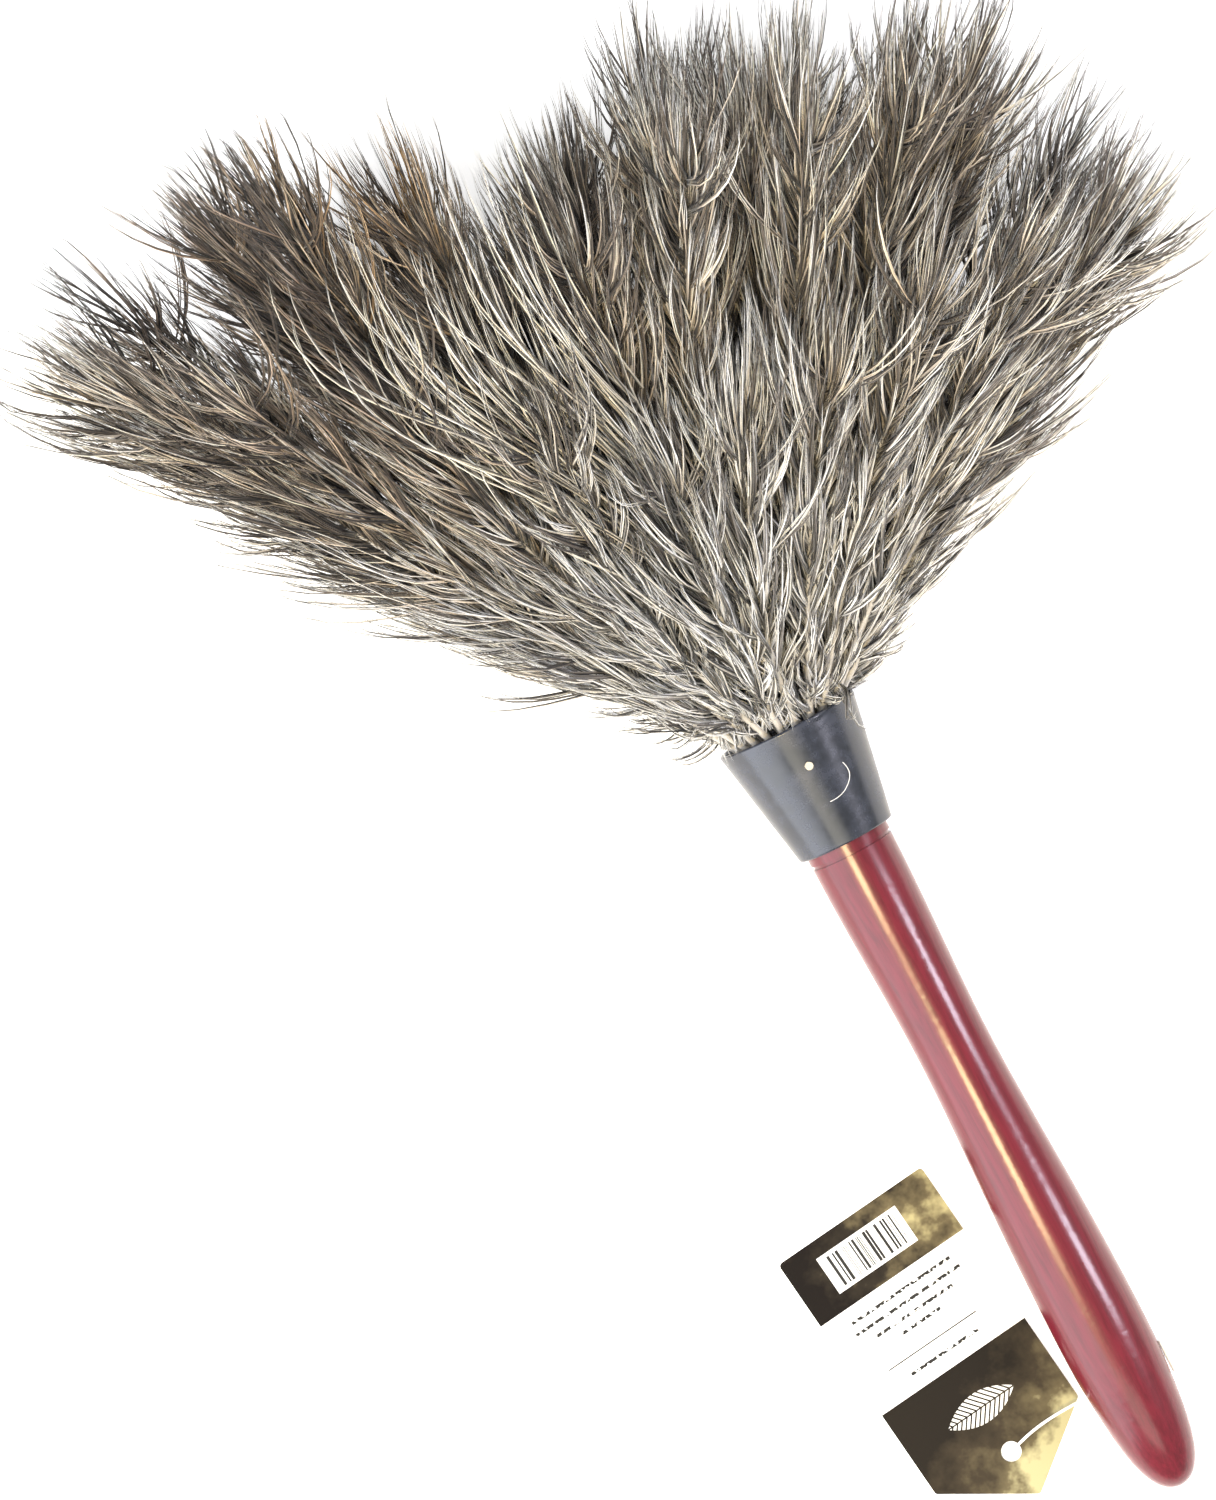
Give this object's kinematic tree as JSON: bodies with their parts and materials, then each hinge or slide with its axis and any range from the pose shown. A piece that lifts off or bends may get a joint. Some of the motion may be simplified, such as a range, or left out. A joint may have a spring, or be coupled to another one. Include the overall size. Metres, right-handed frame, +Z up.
{
  "type": "feather duster",
  "caption": "Ostrich feather duster with a turned lacquered wood handle, a tapered plastic collar and a card hang tag on a nylon fastener.",
  "frame": {"origin": "centre of the duster's base rectangle, on the surface it lies on", "axes": "+Y runs along the handle towards the feathers, +Z is up from the surface, +X is to the right"},
  "size_m": [0.2926, 0.4173, 0.1239],
  "materials": {
    "lacquered_wood": "gloss",
    "collar_plastic": "gloss",
    "steel": "satin",
    "feather_inner": "matte",
    "feather_middle": "matte",
    "feather_outer": "matte",
    "tag_paper": "satin",
    "nylon": "satin"
  },
  "bodies": {
    "duster": {"handle": "lacquered_wood", "collar": "collar_plastic", "collar_brads": "steel", "binding_wire_inner": "steel", "binding_wire_middle": "steel", "binding_wire_outer": "steel", "feather_inner_01": "feather_inner", "feather_inner_02": "feather_inner", "feather_inner_03": "feather_inner", "feather_inner_04": "feather_inner", "feather_inner_05": "feather_inner", "feather_inner_06": "feather_inner", "feather_inner_07": "feather_inner", "feather_inner_08": "feather_inner", "feather_inner_09": "feather_inner", "feather_inner_10": "feather_inner", "feather_middle_01": "feather_middle", "feather_middle_02": "feather_middle", "feather_middle_03": "feather_middle", "feather_middle_04": "feather_middle", "feather_middle_05": "feather_middle", "feather_middle_06": "feather_middle", "feather_middle_07": "feather_middle", "feather_middle_08": "feather_middle", "feather_middle_09": "feather_middle", "feather_middle_10": "feather_middle", "feather_middle_11": "feather_middle", "feather_middle_12": "feather_middle", "feather_middle_13": "feather_middle", "feather_middle_14": "feather_middle", "feather_middle_15": "feather_middle", "feather_middle_16": "feather_middle", "feather_outer_01": "feather_outer", "feather_outer_02": "feather_outer", "feather_outer_03": "feather_outer", "feather_outer_04": "feather_outer", "feather_outer_05": "feather_outer", "feather_outer_06": "feather_outer", "feather_outer_07": "feather_outer", "feather_outer_08": "feather_outer", "feather_outer_09": "feather_outer", "feather_outer_10": "feather_outer", "feather_outer_11": "feather_outer", "feather_outer_12": "feather_outer", "feather_outer_13": "feather_outer", "feather_outer_14": "feather_outer", "feather_outer_15": "feather_outer", "feather_outer_16": "feather_outer", "feather_outer_17": "feather_outer", "feather_outer_18": "feather_outer", "feather_outer_19": "feather_outer", "feather_outer_20": "feather_outer", "feather_outer_21": "feather_outer", "feather_outer_22": "feather_outer"},
    "fastener": {"tag_bar": "nylon", "tag_filament": "nylon", "tag_paddle": "nylon"},
    "tag": {"tag_card": "tag_paper"}
  },
  "joints": [
    {"name": "fastener_swing", "type": "hinge", "parent": "duster", "child": "fastener", "pos_m": [-0.0083, -0.177, 0.01156], "axis": [1, 0, 0], "range_deg": [0, 75]},
    {"name": "tag_swivel", "type": "hinge", "parent": "fastener", "child": "tag", "pos_m": [-0.0438, -0.1812, 0.0007], "axis": [0, 0, 1], "range_deg": [-10, 110]}
  ]
}
